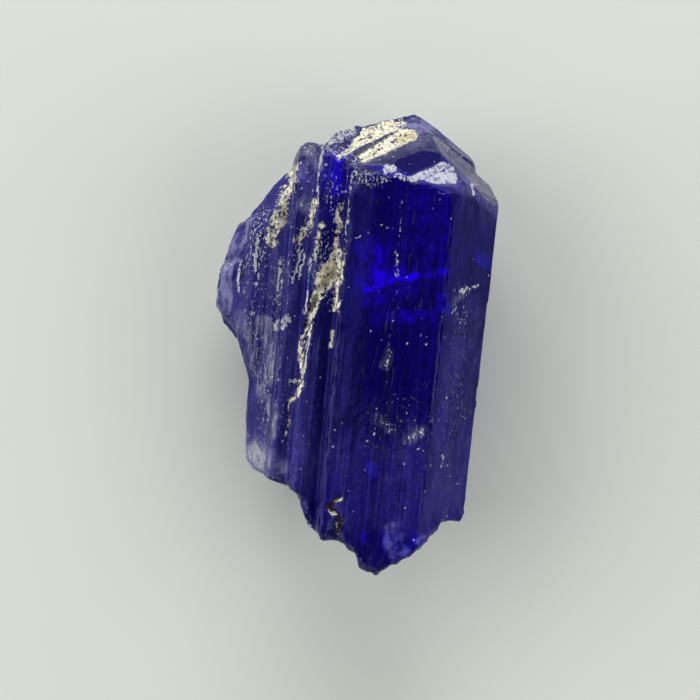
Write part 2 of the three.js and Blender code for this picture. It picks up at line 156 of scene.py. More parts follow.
RESIDUE_STROKES = (
    # The two ledges behind the main crest, and the speckled plateau left of them
    Stroke(Mark.RESIDUE, 0.16, 0.82,
           ((-0.89, 8.62), (1.49, 10.08), (1.25, 10.4), (0.7, 10.32), (-0.47, 9.36), (-1.12, 8.8)), True),
    Stroke(Mark.RESIDUE, 0.10, 0.85, ((-0.85, 8.72), (0.2, 9.4), (0.8, 9.8))),
    Stroke(Mark.RESIDUE, 0.16, 0.80,
           ((-2.09, 8.68), (-1.6, 9.15), (-1.18, 9.43), (0.88, 10.68), (0.64, 10.94), (-0.98, 10.23),
            (-1.3, 9.7)), True),
    Stroke(Mark.RESIDUE, 0.14, 0.85, ((-1.3, 9.5), (-0.6, 10.0), (0.2, 10.45))),
    Stroke(Mark.VEIL, 0.55, 0.7, ((-2.5, 9.6), (-1.7, 10.05))),
    Stroke(Mark.VEIL, 0.60, 0.5, ((-2.9, 9.3), (-1.6, 8.9), (-1.2, 8.6))),
    Stroke(Mark.OCHRE, 0.55, 0.9, ((0.7, 9.85), (1.3, 10.2))),
    # The groove between the finger and the left blade, and the finger's right side
    Stroke(Mark.RESIDUE, 0.30, 0.8, ((-4.12, 8.05), (-4.22, 7.3), (-4.35, 6.9))),
    Stroke(Mark.RESIDUE, 0.58, 0.66, ((-4.45, 6.9), (-4.6, 6.4), (-4.5, 5.9), (-4.75, 5.3), (-4.95, 4.6))),
    Stroke(Mark.OCHRE, 0.60, 0.7, ((-4.45, 6.3), (-4.4, 5.5))),
    Stroke(Mark.RESIDUE, 0.28, 0.72, ((-2.98, 6.5), (-3.1, 5.9), (-3.25, 5.4))),
    Stroke(Mark.RESIDUE, 0.46, 0.54, ((-3.25, 5.4), (-3.4, 5.0), (-3.6, 4.5))),
    Stroke(Mark.VEIL, 0.75, 0.42, ((-4.4, 6.9), (-4.6, 6.0), (-4.9, 4.7))),
    Stroke(Mark.VEIL, 0.45, 0.46, ((-3.1, 6.4), (-3.25, 5.6), (-3.5, 4.8))),
    Stroke(Mark.VEIL, 0.45, 0.42, ((-3.75, 8.3), (-3.9, 7.2))),
    Stroke(Mark.VEIL, 0.12, 0.8, ((-2.93, 9.2), (-2.97, 8.0), (-2.92, 6.6))),
    Stroke(Mark.RESIDUE, 0.18, 0.72, ((-2.62, 5.4), (-2.65, 4.6), (-2.75, 3.9))),
    Stroke(Mark.DASH, 0.11, 0.85, ((-5.53, 4.7), (-5.53, 3.0))),
    Stroke(Mark.DASH, 0.11, 0.75, ((-3.36, 4.1), (-3.38, 2.8))),
    Stroke(Mark.DASH, 0.11, 0.75, ((-3.62, 4.2), (-3.62, 2.6))),
    Stroke(Mark.DASH, 0.14, 0.75, ((-4.25, 3.8), (-4.45, 3.3), (-4.42, 2.3))),
    Stroke(Mark.DASH, 0.11, 0.75, ((-6.28, 3.4), (-6.3, 2.0))),
    Stroke(Mark.DASH, 0.11, 0.75, ((-2.98, 3.8), (-3.05, 1.2))),
    # The foot of the main blade's left wall
    Stroke(Mark.RESIDUE, 0.20, 0.72, ((-1.75, 6.4), (-1.8, 5.5), (-1.82, 4.6))),
    Stroke(Mark.RESIDUE, 0.50, 0.78, ((-1.72, 4.2), (-1.9, 3.6), (-2.15, 2.8))),
    Stroke(Mark.OCHRE, 0.60, 0.8, ((-1.95, 3.5), (-2.1, 3.0))),
    Stroke(Mark.RESIDUE, 0.20, 0.75, ((-2.1, 2.8), (-2.3, 2.1), (-2.6, 1.5))),
    Stroke(Mark.RESIDUE, 0.18, 0.85, ((-1.57, 3.7), (-1.55, 2.9), (-1.58, 2.3), (-1.56, 1.6))),
    Stroke(Mark.RESIDUE, 0.10, 0.72, ((-1.60, 0.55), (-1.60, 0.05), (-1.64, -0.35))),
    # The forked crack down the inner blade
    Stroke(Mark.RESIDUE, 0.15, 0.8, ((-2.34, 3.3), (-2.5, 2.5), (-2.71, 1.85), (-2.64, 1.4))),
    Stroke(Mark.RESIDUE, 0.10, 0.75,
           ((-2.64, 1.4), (-2.8, 0.9), (-3.0, -0.3), (-2.94, -1.55), (-2.82, -2.15))),
    Stroke(Mark.RESIDUE, 0.08, 0.75, ((-2.6, 0.7), (-2.77, -0.1), (-2.77, -0.7), (-2.82, -2.15))),
    Stroke(Mark.RESIDUE, 0.11, 0.95, ((-2.82, -2.15), (-3.02, -2.6), (-3.24, -3.1))),
    Stroke(Mark.RESIDUE, 0.07, 0.80, ((-3.24, -3.1), (-3.26, -3.7), (-3.23, -4.6))),
    Stroke(Mark.RESIDUE, 0.26, 0.95, ((-1.7, 3.2), (-2.1, 2.67), (-2.45, 2.2))),
    Stroke(Mark.RESIDUE, 0.17, 0.80, ((-2.45, 2.2), (-2.75, 1.2), (-2.85, 0.4))),
    Stroke(Mark.RESIDUE, 0.12, 0.48, ((-2.85, 0.4), (-2.95, -0.4), (-2.85, -2.0))),
    Stroke(Mark.RESIDUE, 0.09, 0.6, ((-3.5, -2.03), (-2.98, -2.1))),
    # Grains held in the broken end
    Stroke(Mark.EARTH, 0.20, 0.75, ((-0.5, -7.3), (-0.75, -7.45), (-1.05, -7.75), (-0.8, -7.9))),
    Stroke(Mark.EARTH, 0.17, 0.80, ((-0.8, -7.9), (-0.5, -8.1), (-0.45, -8.5), (-0.55, -8.8))),
    Stroke(Mark.EARTH, 0.17, 0.70, ((-0.55, -8.8), (-0.35, -9.3), (0.0, -9.5))),
    Stroke(Mark.RESIDUE, 0.14, 0.55, ((-0.45, -7.32), (-0.7, -7.42))),
    Stroke(Mark.RESIDUE, 0.13, 0.70, ((-0.88, -7.95), (-0.72, -8.1))),
    Stroke(Mark.RESIDUE, 0.12, 0.50, ((-0.55, -8.5), (-0.52, -8.9), (-0.4, -9.1))),
)

VEIL_STROKES = (
    # Chips along the main crest and its facets, a painted glint on the crest, painted sheen on one facet
    # and painted shade below it
    Stroke(Mark.VEIL, 0.70, 0.50, ((-1.1, 7.9), (-0.4, 7.7), (0.1, 7.9))),
    # A painted glint, in the colour of the chips
    Stroke(Mark.VEIL, 0.30, 1.0, ((0.2, 8.35), (0.5, 8.3))),
    Stroke(Mark.VEIL, 0.20, 0.9, ((0.7, 8.0), (1.14, 7.88), (1.6, 8.05))),
    Stroke(Mark.SHEEN_AND_WISP, 0.06, 0.74, ((1.35, 8.02), (2.85, 8.92), (3.17, 8.80), (1.92, 8.03)), True),
    Stroke(Mark.SHEEN_AND_WISP, 0.06, 0.98, ((2.05, 8.0), (3.3, 8.72), (3.52, 8.3), (3.5, 7.96), (2.4, 7.9)), True),
    Stroke(Mark.VEIL, 0.26, 0.42, ((2.5, 7.96), (3.1, 8.14), (3.4, 8.36))),
    Stroke(Mark.SHADE, 0.20, 0.9, ((1.9, 7.85), (2.7, 7.75), (3.4, 7.6))),
    Stroke(Mark.FROST, 0.20, 1.2, ((-1.1, 9.15), (0.9, 10.4))),
    Stroke(Mark.VEIL, 0.20, 0.8, ((4.36, 8.02), (4.35, 7.65))),
    Stroke(Mark.VEIL, 0.50, 0.44, ((-3.66, 9.1), (-3.4, 8.9))),
    Stroke(Mark.VEIL, 0.09, 0.6, ((-1.2, 8.75), (-1.29, 8.03), (-1.4, 7.4), (-1.42, 6.5), (-1.42, 5.0))),
    # Scratches and white wisps on the main face
    Stroke(Mark.VEIL, 0.16, 0.46, ((1.11, 7.0), (1.15, 5.6), (1.12, 4.9))),
    Stroke(Mark.VEIL, 0.20, 0.55, ((1.05, 4.6), (1.1, 3.8), (1.15, 3.3))),
    Stroke(Mark.VEIL, 0.12, 0.44, ((1.15, 2.6), (1.15, 0.6), (1.15, -1.9))),
    Stroke(Mark.VEIL, 0.14, 0.60, ((1.1, -0.1), (1.08, -0.74), (1.25, -1.1))),
    Stroke(Mark.VEIL, 0.07, 0.6, ((-0.2, 5.64), (0.3, 5.63), (0.75, 5.55))),
    Stroke(Mark.VEIL, 0.07, 0.55, ((-1.4, 4.82), (-0.81, 5.01), (-0.37, 5.29))),
    Stroke(Mark.VEIL, 0.09, 0.75, ((4.2, 2.9), (4.53, 3.18), (5.0, 3.29))),
    Stroke(Mark.VEIL, 0.08, 0.7, ((3.84, 2.0), (4.16, 2.1))),
    Stroke(Mark.VEIL, 0.18, 0.70, ((2.95, -3.72), (3.1, -3.8))),
    Stroke(Mark.VEIL, 0.42, 0.48, ((2.75, -3.9), (2.4, -4.2))),
    Stroke(Mark.VEIL, 0.35, 0.44, ((1.2, -3.5), (1.5, -3.8))),
    Stroke(Mark.SHEEN_AND_WISP, 0.60, 0.34, ((2.9, -3.7), (2.4, -4.2))),
    Stroke(Mark.SHEEN_AND_WISP, 0.40, 0.32, ((1.1, -0.2), (1.1, -0.9))),
    Stroke(Mark.SHEEN_AND_WISP, 0.50, 0.30, ((0.9, -3.3), (1.4, -3.8))),
    Stroke(Mark.SHEEN_AND_WISP, 0.30, 0.30, ((4.3, 2.9), (4.0, 2.2))),
    Stroke(Mark.VEIL, 0.08, 0.9, ((4.09, -4.82), (4.2, -5.05), (4.13, -5.28))),
    Stroke(Mark.VEIL, 0.10, 0.9, ((3.55, -5.3), (3.59, -5.32))),
    Stroke(Mark.VEIL, 0.08, 0.8, ((2.75, -4.66), (2.95, -4.64))),
    # Wisps, dashes and pits on the left blades and the lower half
    Stroke(Mark.VEIL, 0.45, 0.75, ((-4.2, 0.5), (-3.85, 0.85))),
    Stroke(Mark.VEIL, 1.30, 0.38, ((-5.4, -0.2), (-4.6, -0.4), (-4.4, -2.2), (-4.1, -4.4))),
    Stroke(Mark.VEIL, 3.60, 0.333, ((1.2, -3.8), (4.0, -2.4))),
    Stroke(Mark.VEIL, 0.90, 0.35, ((4.3, 3.0), (4.6, 2.3), (4.3, 1.8))),
    Stroke(Mark.VEIL, 1.50, 0.325, ((4.4, 1.0), (4.2, -3.0))),
    Stroke(Mark.DASH, 3.20, 0.40, ((-4.8, 5.0), (-4.9, 1.5))),
    Stroke(Mark.DASH, 2.40, 0.36, ((-4.4, 0.5), (-4.0, -5.0))),
    Stroke(Mark.DASH, 1.30, 0.40, ((-2.3, 7.5), (-2.3, 2.0))),
    Stroke(Mark.DASH, 3.60, 0.30, ((2.0, -3.0), (2.0, -8.0))),
    Stroke(Mark.SPECK, 4.00, 0.95, ((-4.6, 7.0), (-4.6, -4.0))),
    Stroke(Mark.SPECK, 5.00, 0.50, ((-1.0, -6.0), (4.0, -3.5))),
    Stroke(Mark.SPECK, 1.60, 0.90, ((-2.3, 9.0), (-2.2, 2.0))),
    Stroke(Mark.SPECK, 1.20, 0.60, ((-0.8, 7.9), (2.0, 8.6))),
    Stroke(Mark.SPECK, 1.50, 0.22, ((4.8, 8.0), (4.6, 0.0))),
    Stroke(Mark.SPECK, 5.00, 0.15, ((1.5, 6.0), (1.5, -4.0))),
)

PAINTED_GLINT_STROKES = (
    # Painted glints, as of light thrown back by a crack across the main blade
    Stroke(Mark.GLOW, 1.40, 0.45, ((0.1, 4.3), (0.1, 3.0), (1.6, 3.3))),
    Stroke(Mark.GLOW, 0.50, 0.75, ((0.05, 4.5), (0.25, 4.1), (-0.1, 3.3), (0.6, 3.2))),
    Stroke(Mark.GLOW, 0.22, 1.0, ((-0.24, 2.6), (0.6, 2.95), (1.63, 3.37), (2.15, 3.52))),
    Stroke(Mark.GLOW, 0.30, 0.6, ((2.15, 3.52), (3.47, 3.78))),
    Stroke(Mark.GLOW, 0.60, 0.45, ((-0.1, 2.0), (0.4, 2.2))),
    Stroke(Mark.GLOW, 0.50, 0.45, ((0.42, 1.24), (1.14, 1.44), (2.87, 1.64))),
    Stroke(Mark.GLOW, 0.50, 0.4, ((5.15, 4.5), (5.3, 4.4))),
    Stroke(Mark.GLOW, 0.50, 0.5, ((3.39, 2.43), (3.5, 2.1))),
    Stroke(Mark.GLOW, 2.20, 0.32, ((2.2, 6.6), (2.4, 4.6))),
    # Painted glints on the inner blade's top and the broken end
    Stroke(Mark.GLOW, 0.85, 0.7, ((-2.12, 8.6), (-2.15, 7.2))),
    Stroke(Mark.GLOW, 0.60, 0.35, ((-2.15, 7.2), (-2.2, 6.0))),
    Stroke(Mark.GLOW, 0.60, 0.40, ((-3.5, 7.9), (-3.4, 7.2))),
    Stroke(Mark.GLOW, 0.90, 0.5, ((2.2, -8.9), (2.5, -9.6), (3.2, -9.1))),
    Stroke(Mark.GLOW, 0.45, 0.36, ((0.7, -5.53), (1.0, -6.05))),
    Stroke(Mark.GLOW, 0.30, 0.45, ((0.8, -8.9), (0.82, -9.2))),
)

EDGE_STROKES = (
    # Thin lobes along the left edge, painted pale as light let through them
    Stroke(Mark.PAINTED_BACKLIGHT, 0.12, 0.75,
           ((-6.69, 4.87), (-6.4, 5.39), (-5.82, 5.72), (-6.14, 5.23), (-6.21, 4.31), (-6.51, 3.67),
            (-6.97, 3.69)), True),
    Stroke(Mark.PAINTED_BACKLIGHT, 0.12, 0.8,
           ((-7.22, 2.5), (-7.06, 3.31), (-6.38, 3.53), (-6.67, 3.23), (-6.7, 2.4), (-7.21, 2.35)), True),
    Stroke(Mark.PAINTED_BACKLIGHT, 0.12, 0.85,
           ((-7.29, 1.76), (-7.14, 2.27), (-6.66, 2.37), (-6.57, 1.71), (-6.59, 0.98), (-6.9, 0.76),
            (-7.25, 1.34)), True),
    Stroke(Mark.VEIL, 0.40, 0.46, ((-6.9, 3.3), (-7.0, 2.6))),
    # Painted shade along the left blades' edges, over their body and on the finger's foot
    Stroke(Mark.SHADE, 0.15, 0.9, ((-5.40, 4.86), (-5.39, 4.13), (-5.30, 2.61))),
    Stroke(Mark.SHADE, 0.15, 0.9, ((-6.12, 3.45), (-6.12, 2.84), (-6.20, 2.04))),
    Stroke(Mark.SHADE, 0.15, 0.9, ((-4.28, 4.42), (-4.23, 3.33), (-4.27, 2.41))),
    Stroke(Mark.SHADE, 0.13, 0.9, ((-3.50, 4.43), (-3.46, 3.71), (-3.43, 2.79))),
    Stroke(Mark.SHADE, 0.13, 0.9, ((-2.82, 7.92), (-2.76, 6.70), (-2.74, 5.61))),
    Stroke(Mark.SHADE, 2.60, 0.48, ((-4.9, 6.6), (-5.0, 2.5), (-4.6, -2.5))),
    Stroke(Mark.SHADE, 0.50, 0.6, ((-3.55, 6.76), (-3.61, 4.92))),
    # The lowest lobe, painted pale as light let through it and given painted sheen, and white clouds above
    # it
    Stroke(Mark.PAINTED_BACKLIGHT, 1.20, 1.0, ((-4.9, -5.6), (-4.5, -6.0), (-4.0, -6.4))),
    Stroke(Mark.SHEEN_AND_WISP, 0.80, 0.8, ((-4.75, -5.6), (-4.5, -5.95))),
    Stroke(Mark.SHEEN_AND_WISP, 0.70, 0.40, ((-4.9, 0.6), (-4.3, -0.6), (-4.4, -2.0))),
    Stroke(Mark.SHEEN_AND_WISP, 0.50, 0.36, ((-5.2, -1.2), (-4.7, -2.6), (-4.1, -3.4), (-3.9, -4.6))),
    Stroke(Mark.SHEEN_AND_WISP, 0.50, 0.34, ((-6.1, 0.9), (-5.5, -0.2), (-5.2, -1.2))),
    # Painted light let through thin parts: the left blades, the broken end, the lower half, the right
    # face, behind the crest and the finger's top
    Stroke(Mark.PAINTED_BACKLIGHT, 1.00, 0.30, ((-4.6, 3.6), (-4.4, 2.0))),
    Stroke(Mark.PAINTED_BACKLIGHT, 0.45, 0.65, ((2.05, -8.4), (2.1, -9.3), (2.3, -9.7), (2.75, -9.6))),
    Stroke(Mark.PAINTED_BACKLIGHT, 0.30, 0.50, ((2.5, -8.7), (2.6, -9.3))),
    Stroke(Mark.PAINTED_BACKLIGHT, 0.24, 0.70, ((3.3, -8.95), (3.5, -8.75))),
    Stroke(Mark.PAINTED_BACKLIGHT, 3.80, 0.15, ((-0.5, -4.5), (3.5, -5.0))),
    Stroke(Mark.PAINTED_BACKLIGHT, 1.60, 0.15, ((4.7, 1.5), (4.6, -6.0))),
    Stroke(Mark.PAINTED_BACKLIGHT, 0.60, 0.80, ((1.0, 10.6), (2.0, 10.6))),
    Stroke(Mark.PAINTED_BACKLIGHT, 0.45, 0.70, ((-3.35, 8.3), (-3.4, 7.2), (-3.5, 6.2))),
    Stroke(Mark.HAZE, 3.40, 1.0, ((-4.6, 7.5), (-4.8, 2.0), (-4.2, -3.0), (-3.6, -5.5))),
    Stroke(Mark.FROST, 3.40, 0.35, ((-4.6, 7.5), (-4.8, 2.0), (-4.2, -3.0), (-3.6, -5.5))),
    Stroke(Mark.HAZE, 0.15, 1.0,
           ((3.45, 7.85), (4.2, 8.3), (5.8, 7.3), (6.2, -8.5), (3.25, -8.5), (3.35, -7.0),
            (3.62, 1.1)), True),
    # Painted shade over the right face and its lower part
    Stroke(Mark.SHADE, 0.50, 0.95,
           ((3.45, 7.2), (4.2, 7.2), (5.8, 6.2), (6.2, 1.0), (3.62, 1.1)), True),
    Stroke(Mark.FROST, 1.10, 0.50, ((4.0, 8.0), (5.5, 6.9))),
    Stroke(Mark.SHADE, 0.15, 0.66,
           ((3.62, 1.1), (6.2, 1.0), (6.2, -8.5), (3.25, -8.5), (3.35, -7.0)), True),
    Stroke(Mark.FROST, 1.90, 0.10, ((5.0, 1.0), (4.9, -7.0))),
    # Painted shade on the walls of the main blade and the finger, painted light on the finger's top, and
    # frost on the lower half and the main blade's left
    Stroke(Mark.SHADE, 0.45, 0.7, ((-1.5, 2.0), (-1.55, -2.0), (-1.6, -8.0))),
    Stroke(Mark.SHADE, 0.35, 0.5, ((-3.0, 5.0), (-3.2, 0.0), (-3.2, -6.0))),
    Stroke(Mark.FROST, 0.80, 1.0, ((-3.6, 9.2), (-3.4, 8.6))),
    Stroke(Mark.PAINTED_BACKLIGHT, 0.60, 0.8, ((-3.55, 7.8), (-3.2, 8.2))),
    Stroke(Mark.SHADE, 0.70, 0.85, ((-2.3, 6.4), (-2.3, 4.2))),
    Stroke(Mark.HAZE, 4.50, 0.7, ((-0.5, -6.5), (4.0, -6.5))),
    Stroke(Mark.FROST, 4.50, 0.14, ((-0.5, -6.5), (4.0, -6.5))),
    Stroke(Mark.HAZE, 1.20, 0.6, ((-1.2, 7.0), (-1.0, -3.0))),
    Stroke(Mark.FROST, 1.20, 0.20, ((-1.2, 7.0), (-1.0, -3.0))),
    # The grown end: grey-violet facets, whose grey frost also stands in for the grey sheen they throw
    # back, with painted shade on them and on one dark facet
    Stroke(Mark.HAZE, 0.12, 1.0,
           ((-0.92, 8.55), (2.18, 10.25), (4.5, 8.79), (5.68, 7.49), (5.4, 7.2), (3.5, 7.9),
            (0.5, 8.0)), True),
    Stroke(Mark.SHADE, 0.10, 0.70,
           ((-0.92, 8.55), (2.18, 10.25), (2.3, 9.9), (2.72, 9.3), (1.84, 9.34), (0.72, 8.75),
            (0.5, 8.6)), True),
    Stroke(Mark.FROST, 0.10, 1.60,
           ((-0.92, 8.55), (2.18, 10.25), (2.3, 9.9), (2.72, 9.3), (1.84, 9.34), (0.72, 8.75),
            (0.5, 8.6)), True),
    Stroke(Mark.FROST, 0.12, 1.6,
           ((2.18, 10.25), (4.5, 8.79), (5.68, 7.49), (5.4, 7.2), (4.2, 8.3), (3.3, 9.0),
            (2.2, 9.9)), True),
    Stroke(Mark.SHADE, 0.10, 1.2,
           ((0.6, 8.55), (0.72, 8.75), (1.84, 9.34), (2.61, 9.33), (2.85, 9.05), (1.3, 8.2)), True),
    Stroke(Mark.SPECK, 0.60, 1.0, ((1.2, 8.7), (2.4, 9.1))),
    # Painted shade on the main face and at the broken end
    Stroke(Mark.SHADE, 2.00, 0.4, ((1.6, 2.4), (2.6, 0.6))),
    Stroke(Mark.SHADE, 0.60, 0.9, ((1.2, -9.0), (1.6, -9.0), (1.4, -9.8))),
    Stroke(Mark.SHADE, 1.20, 0.7, ((-1.1, 6.5), (-1.2, 1.0))),
    Stroke(Mark.HACKLE, 0.80, 1.0, ((-5.2, -6.2), (-2.9, -7.0), (-1.3, -9.2), (1.2, -10.6))),
    Stroke(Mark.HACKLE, 0.80, 1.0, ((1.2, -10.6), (3.6, -9.1), (4.2, -8.2), (5.4, -7.8))),
    Stroke(Mark.HACKLE, 0.70, 0.8, ((-5.5, -1.2), (-6.4, 0.2), (-7.2, 1.3))),
    Stroke(Mark.HACKLE, 0.50, 1.0, ((-2.7, 9.6), (-1.2, 10.3), (0.7, 11.0))),
    Stroke(Mark.HACKLE, 0.60, 0.9, ((-5.6, 6.4), (-6.42, 5.15), (-6.8, 3.9), (-7.1, 3.1), (-7.1, 1.3))),
)

STROKES = RESIDUE_STROKES + VEIL_STROKES + PAINTED_GLINT_STROKES + EDGE_STROKES


class Grain(Enum):
    """Kinds of procedural relief, by the texture that gives them."""

    SOFT = "CLOUDS"
    CELLS = "VORONOI"


@dataclass(frozen=True)
class Relief:
    """One layer of relief: its grain's size along X, Y and Z and its depth, in millimetres."""

    name: str
    grain: Grain
    spread: tuple[float, float, float]
    depth: float
    group: str
    level: float = 0.5  # the texture's value that leaves the surface where it is
    finer_layers: int = 3

    def carve(self, piece: bpy.types.Object) -> None:
        """Displaces the piece by this layer, along its normals.

        Args:
            piece: The mesh that carries the layer's vertex group.
        """
        bpy.ops.object.empty_add(type="PLAIN_AXES")
        guide = bpy.context.object
        guide.scale = [s * MM for s in self.spread]
        bpy.context.view_layer.update()
        texture = bpy.data.textures.new(self.name, self.grain.value)
        texture.noise_scale = 1.0
        if self.grain is Grain.SOFT:
            texture.noise_depth = self.finer_layers
        only(piece)
        layer = piece.modifiers.new(self.name, "DISPLACE")
        layer.texture = texture
        layer.texture_coords = "OBJECT"
        layer.texture_coords_object = guide
        layer.strength = self.depth * MM
        layer.mid_level = self.level
        layer.vertex_group = self.group
        bpy.ops.object.modifier_apply(modifier=layer.name)
        bpy.data.objects.remove(guide)
        bpy.data.textures.remove(texture)


class Graph:
    """The node tree of a material or a world, filled one node at a time."""

    def __init__(self, owner: bpy.types.Material | bpy.types.World) -> None:
        """Empties the owner's node tree.

        Args:
            owner: The material or world that the nodes belong to.
        """
        owner.use_nodes = True
        self.tree = owner.node_tree
        self.tree.nodes.clear()

    def add(self, kind: str, inputs: dict[Any, Any], output: Any = 0, **settings: Any) -> Any:
        """Adds a node with its settings and links.

        A Mix node's inputs go by number: 0 is the share, 2 and 3 are two numbers, 6 and 7 two colours.

        Args:
            kind: The node's type, without the leading ShaderNode.
            inputs: Sockets to link from, or plain values, by the input's name or number.
            output: The name or number of the output that is used next.
            **settings: Properties of the node.

        Returns:
            The output socket, or the node itself where it has none.
        """
        made = self.tree.nodes.new("ShaderNode" + kind)
        for key, value in settings.items():
            setattr(made, key, value)
        for key, value in inputs.items():
            if isinstance(value, bpy.types.NodeSocket):
                self.tree.links.new(value, made.inputs[key])
            else:
                made.inputs[key].default_value = value
        return made.outputs[output] if len(made.outputs) else made


@dataclass(frozen=True)
class Pattern:
    """A noise: its grain across and along the blades in millimetres, and its finer layers."""

    grain: Point
    layers: float
    rough: float


class Noise(Enum):
    """The noises that lie over the crystal."""

    LINES = Pattern((0.16, 9.0), 4.0, 0.60)  # striations
    STREAK = Pattern((0.15, 1.2), 4.0, 0.65)  # short streaks along them
    CLOUD = Pattern((1.1, 3.0), 4.0, 0.60)  # broad patches
    GRIT = Pattern((0.26, 0.26), 6.0, 0.75)  # etched grain
    WISP = Pattern((0.45, 0.70), 5.0, 0.65)  # veils inside
    FLAKE = Pattern((0.14, 0.20), 6.0, 0.75)  # small chips
    DASH = Pattern((0.10, 0.22), 5.0, 0.70)  # fine scratches


# The middle part of a noise, where most of its values lie. It is stretched to run from 0 to 1.
NOISE_SPAN = (0.36, 0.64)

Noises = dict[Noise, Any]
Masks = dict[Mark, Any]


@dataclass(frozen=True)
class Cover:
    """How a mark covers the clear crystal.

    An uneven cover is broken up by a noise. The finish works out the amount of one that isn't, and the
    colour of one without paint.
    """

    mark: Mark
    gain: float  # how much sooner the paint is full than the rest
    clear: float  # the share of the light that still goes through
    matt: float  # the surface's roughness
    paint: str = ""
    uneven: float = 0.0  # how much the noise counts beside the mark itself
    start: float = 0.0  # the broken mark's value at the cover's rim
    full: float = 1.0  # and where the cover is whole


WHITE = "#D4D4DC"

# From the lowest cover to the topmost
COVERS = (
    Cover(Mark.HAZE, 4.0, 0.05, 0.30),
    # Painted shade, deep blue-black
    Cover(Mark.SHADE, 1.0, 0.10, 0.20, "#080450", 0.7, 0.0, 1.1),
    # Painted light let through thin parts, pale lavender
    Cover(Mark.PAINTED_BACKLIGHT, 1.2, 0.40, 0.30, "#8C8AC4", 1.4, 0.05, 1.4),
    # Painted sheen, and white wisps
    Cover(Mark.SHEEN_AND_WISP, 1.2, 0.30, 0.25, WHITE, 1.2, 0.1, 1.3),
    # Painted glints, royal blue
    Cover(Mark.GLOW, 1.0, 0.20, 0.10, "#2404FF", 1.1, 0.0, 1.4),
    Cover(Mark.VEIL, 1.5, 0.30, 0.45, WHITE, 1.8, 0.52, 0.86),
    Cover(Mark.DASH, 1.5, 0.30, 0.45, WHITE, 1.8, 0.52, 0.80),
    Cover(Mark.SPECK, 1.0, 0.25, 0.45, WHITE),
    Cover(Mark.EARTH, 1.5, 0.0, 0.70, "#2A211C", 1.7, 0.34, 0.62),
    Cover(Mark.RESIDUE, 1.1, 0.0, 0.85, "", 1.5, 0.36, 0.62),
)


